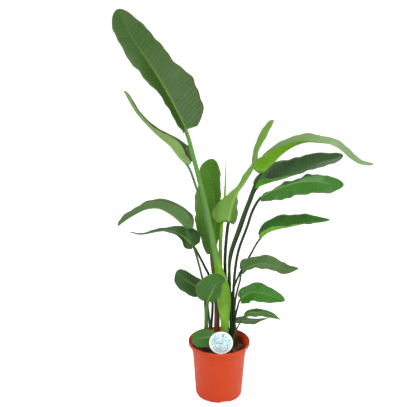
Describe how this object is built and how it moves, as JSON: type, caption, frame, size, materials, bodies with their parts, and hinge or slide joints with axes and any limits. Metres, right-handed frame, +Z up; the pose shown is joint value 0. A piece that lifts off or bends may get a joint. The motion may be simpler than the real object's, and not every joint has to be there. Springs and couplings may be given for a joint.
{
  "type": "potted bird of paradise plant",
  "caption": "Giant bird of paradise with long-stalked paddle leaves fanning from a clump in a round orange nursery pot with soil and a round plant label.",
  "frame": {"origin": "centre of the pot's underside, on its centre foot", "axes": "+Z up along the pot's axis, -Y towards the plant's front and its label, +X to the right of someone who faces the front"},
  "size_m": [0.9276, 0.24, 1.478],
  "materials": {
    "pot": "moulded orange polypropylene",
    "soil": null,
    "label": "printed white sheet",
    "leaf_dark": null,
    "leaf_green": null,
    "leaf_young": null
  },
  "bodies": {
    "root": {"pot": "pot", "soil": "soil", "label": "label", "leaf_tall": "leaf_dark", "leaf_narrow_left": "leaf_dark", "leaf_centre": "leaf_young", "leaf_spear": "leaf_young", "leaf_upright_right": "leaf_young", "leaf_arching_right": "leaf_young", "leaf_grey_right": "leaf_green", "leaf_wavy_right": "leaf_green", "leaf_pointed_right": "leaf_green", "leaf_middle_right": "leaf_green", "leaf_low_right": "leaf_green", "leaf_small_upper": "leaf_green", "leaf_small_lower": "leaf_green", "leaf_arching_left": "leaf_dark", "leaf_twisted_left": "leaf_dark", "leaf_low_left": "leaf_dark", "leaf_front": "leaf_green", "leaf_on_soil": "leaf_green"}
  },
  "joints": []
}
